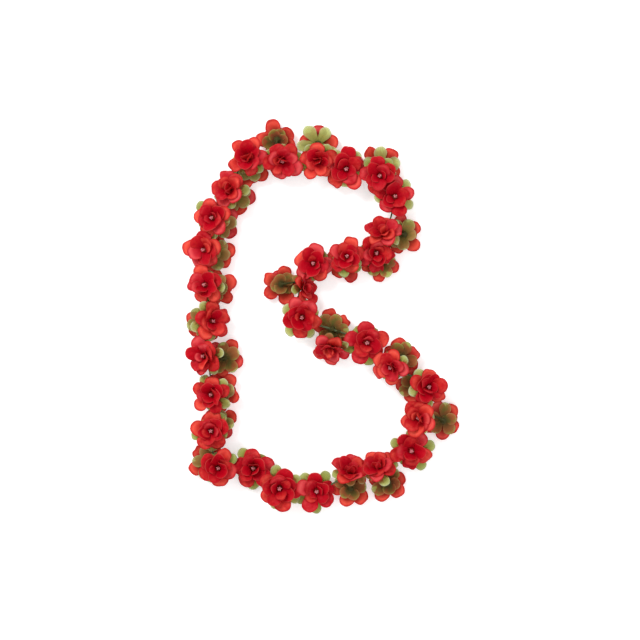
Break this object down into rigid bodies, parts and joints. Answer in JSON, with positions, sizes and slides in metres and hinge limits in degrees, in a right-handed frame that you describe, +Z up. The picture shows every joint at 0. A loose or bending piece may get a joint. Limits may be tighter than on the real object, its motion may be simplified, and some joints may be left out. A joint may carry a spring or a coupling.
{
  "type": "flower lei",
  "caption": "Closed garland of red double blossoms with green calyxes, strung and tied on a knotted green cord, lying flat and pinched in at one side",
  "frame": {"origin": "on the surface that the lei lies on, under the middle of its bounding box", "axes": "+Z is up from the surface; +Y runs along the lei's longest side, towards its narrower lobe; +X points to the side where the garland is pinched in"},
  "size_m": [0.2792, 0.3936, 0.0329],
  "materials": {
    "petal": "soft thin petal, faintly translucent, satin sheen",
    "sepal": "thin yellow-green sepal, translucent at the edge",
    "stamen": "pale pink, fine and matte",
    "cord": "twisted green thread, matte"
  },
  "bodies": {
    "root": {"blossom_01": "petal", "blossom_02": "petal", "blossom_03": "petal", "blossom_04": "petal", "blossom_05": "petal", "blossom_06": "petal", "blossom_07": "petal", "blossom_08": "petal", "blossom_09": "petal", "blossom_10": "petal", "blossom_11": "petal", "blossom_12": "petal", "blossom_13": "petal", "blossom_14": "petal", "blossom_15": "petal", "blossom_16": "petal", "blossom_17": "petal", "blossom_18": "petal", "blossom_19": "petal", "blossom_20": "petal", "blossom_21": "petal", "blossom_22": "petal", "blossom_23": "petal", "blossom_24": "petal", "blossom_25": "petal", "blossom_26": "petal", "blossom_27": "petal", "blossom_28": "petal", "blossom_29": "petal", "blossom_30": "petal", "blossom_31": "petal", "blossom_32": "petal", "blossom_33": "petal", "blossom_34": "petal", "blossom_35": "petal", "blossom_36": "petal", "blossom_37": "petal", "blossom_38": "petal", "blossom_39": "petal", "blossom_40": "petal", "blossom_41": "petal", "blossom_42": "petal", "blossom_43": "petal", "blossom_44": "petal", "blossom_45": "petal", "blossom_46": "petal", "blossom_47": "petal", "blossom_48": "petal", "blossom_49": "petal", "blossom_50": "petal", "blossom_51": "petal", "blossom_52": "petal", "blossom_53": "petal", "blossom_54": "petal", "blossom_55": "petal", "cord": "cord", "cord_knot": "cord"}
  },
  "joints": []
}
